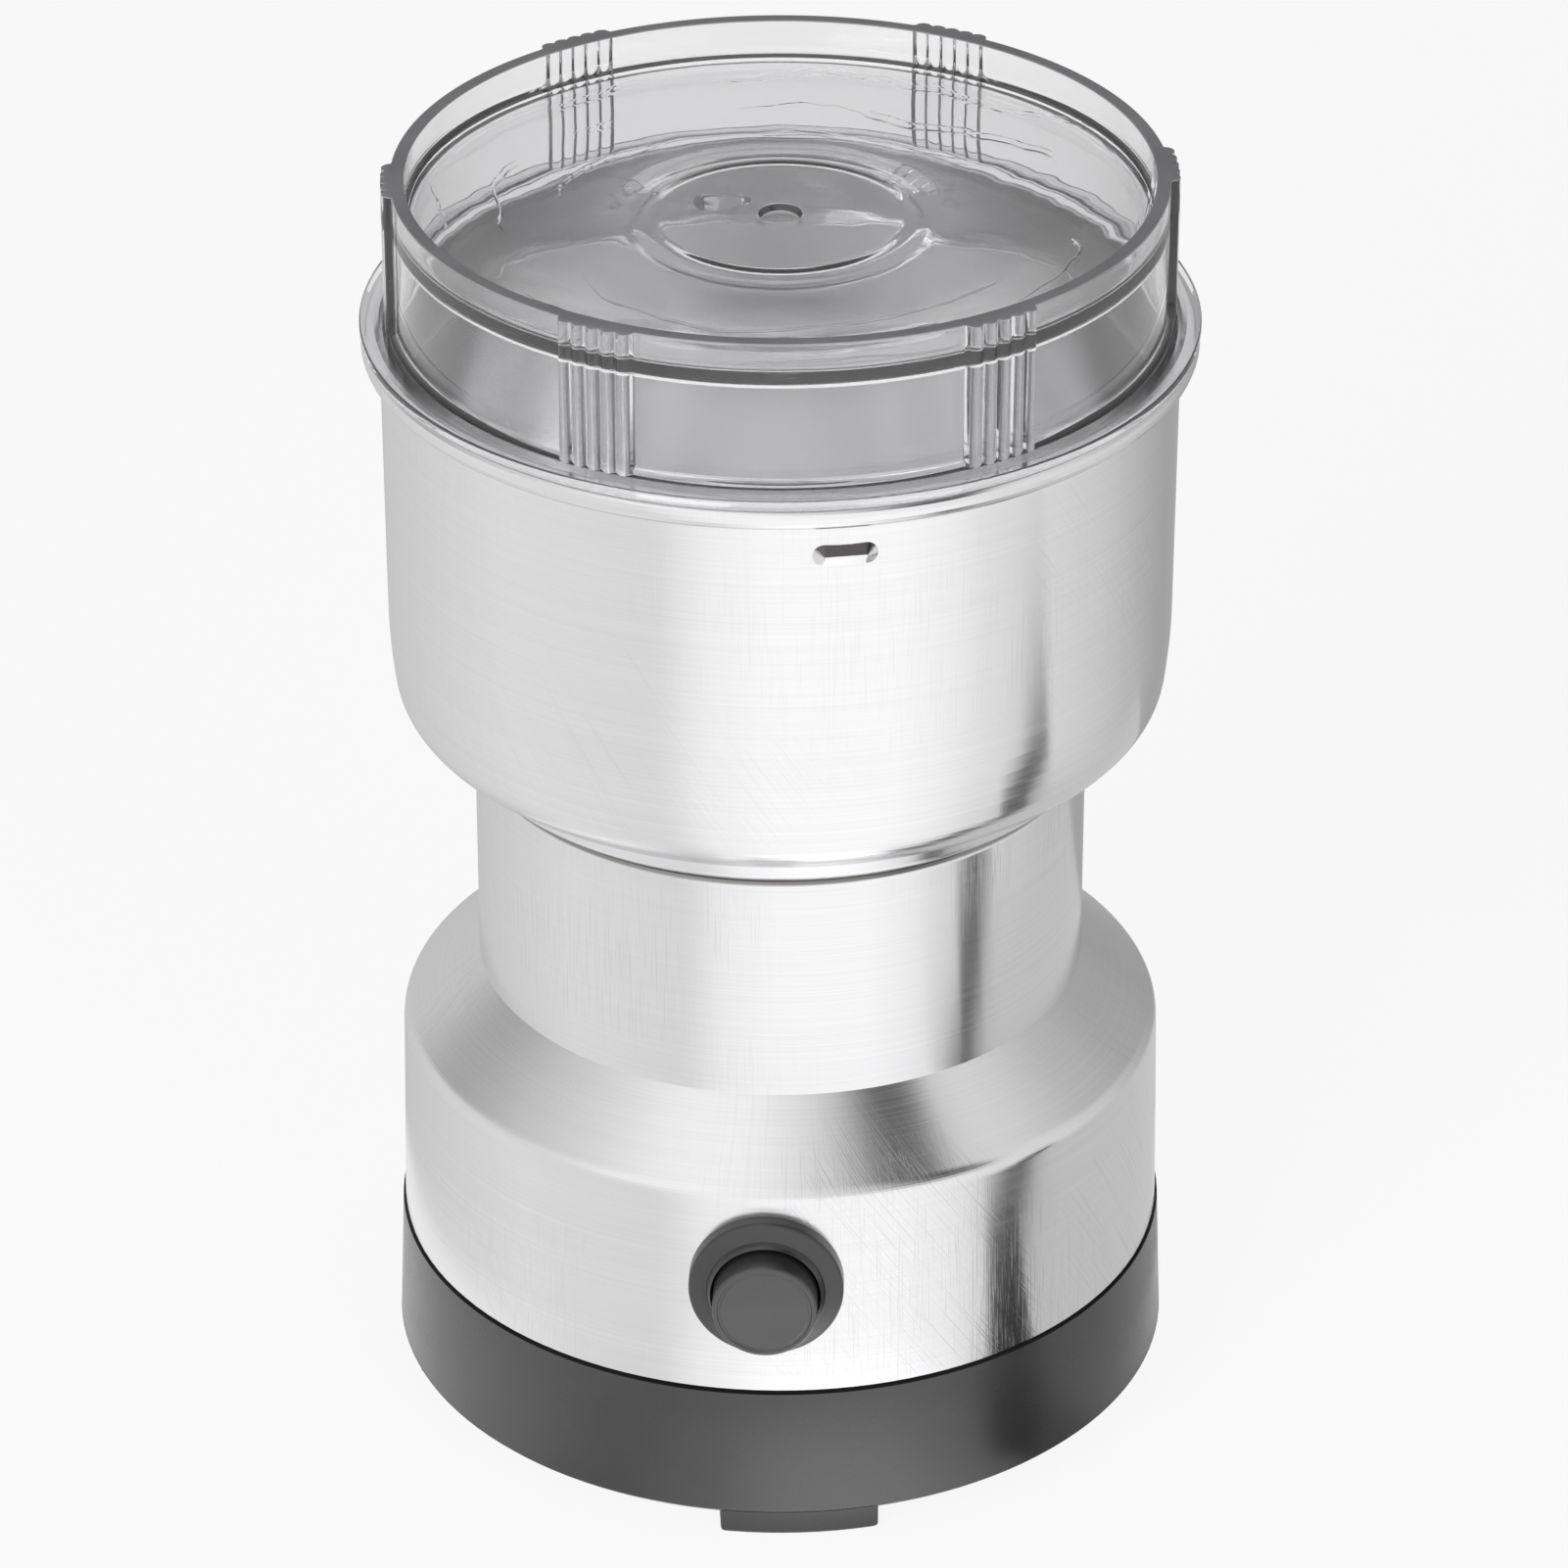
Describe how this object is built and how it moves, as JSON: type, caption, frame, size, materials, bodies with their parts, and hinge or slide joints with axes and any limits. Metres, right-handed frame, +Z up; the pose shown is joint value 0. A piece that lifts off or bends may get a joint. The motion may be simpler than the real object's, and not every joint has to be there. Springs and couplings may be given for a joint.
{
  "type": "electric spice grinder",
  "caption": "Small electric grinder with a waisted steel body on a dark base, a push button, a steel bowl with a spinning blade and a clear push-on lid.",
  "frame": {"origin": "where the bowl's axis meets the plane that the feet stand on", "axes": "+Z up along the bowl's axis, -Y towards the user, the way the button faces, +X to the right as the user sees it"},
  "size_m": [0.1031, 0.109, 0.1672],
  "materials": {
    "body_steel": "brushed round the body, satin",
    "bowl_steel": "brushed round the bowl, satin outside and in",
    "blade_steel": "ground and lightly polished",
    "lid_clear": "clear moulded plastic, polished, slight grey tint",
    "base_plastic": "fine moulded texture",
    "bezel_plastic": "satin moulded plastic",
    "button_plastic": "satin moulded plastic",
    "chassis_plastic": "plain moulded plastic",
    "frame_plastic": "plain moulded plastic",
    "switch_black": "plain moulded plastic",
    "switch_white": "smooth moulded plastic",
    "fan_plastic": "smooth moulded plastic",
    "washer_plastic": "smooth",
    "black_rubber": "matt rubber",
    "core_steel": "stacked steel plates, lacquered",
    "shaft_steel": "ground",
    "zinc_steel": "zinc plated",
    "spring_steel": "drawn wire",
    "copper_wire": "enamelled copper wire",
    "commutator_copper": "turned copper",
    "bush_bronze": "sintered bronze, oiled",
    "brass_strip": "pressed brass strip",
    "carbon": "pressed carbon, matt",
    "cast_frame": "die-cast, matt"
  },
  "bodies": {
    "housing": {"feet": "base_plastic", "base_tub": "base_plastic", "base_screws": "zinc_steel", "lead_bush": "black_rubber", "chassis": "chassis_plastic", "housing_shell": "body_steel", "switch_bezel": "bezel_plastic", "bezel_nut": "bezel_plastic", "button_spring": "spring_steel", "switch_body": "switch_black", "switch_terminals": "brass_strip", "motor_damper": "black_rubber", "lower_frame": "frame_plastic", "lower_bearing": "bush_bronze", "brush_holders": "brass_strip", "carbon_brushes": "carbon", "brush_springs": "spring_steel", "motor_screws": "zinc_steel", "stator_core": "core_steel", "field_coils": "copper_wire", "upper_frame": "cast_frame", "upper_bearing": "bush_bronze", "shaft_seal": "black_rubber", "bowl_gasket": "black_rubber", "bowl": "bowl_steel", "bowl_washer": "black_rubber", "bowl_nut": "blade_steel"},
    "rotor": {"motor_shaft": "shaft_steel", "thrust_washers": "washer_plastic", "cooling_fan": "fan_plastic", "commutator": "commutator_copper", "rotor_core": "core_steel", "rotor_winding": "copper_wire", "blade_hub": "blade_steel", "blade": "blade_steel", "blade_nut": "blade_steel"},
    "lid": {"lid": "lid_clear"},
    "button": {"button": "button_plastic"},
    "plunger": {"switch_plunger": "switch_white"}
  },
  "joints": [
    {"name": "rotor_spin", "type": "hinge", "parent": "housing", "child": "rotor", "pos_m": [0, 0, 0], "axis": [0, 0, 1], "continuous": true},
    {"name": "lid_lift", "type": "slide", "parent": "housing", "child": "lid", "axis": [0, 0, 1], "range_m": [0, 0.06]},
    {"name": "button_press", "type": "slide", "parent": "housing", "child": "button", "axis": [0, 1, 0], "range_m": [0, 0.0025], "stiffness_N_per_m": 400, "springref_m": -0.004, "deforming": ["button_spring"]},
    {"name": "plunger_press", "type": "slide", "parent": "housing", "child": "plunger", "axis": [0, 1, 0], "range_m": [0, 0.0025]}
  ],
  "couplings": [
    {"joint": "plunger_press", "follows": "button_press", "ratio": 1}
  ]
}
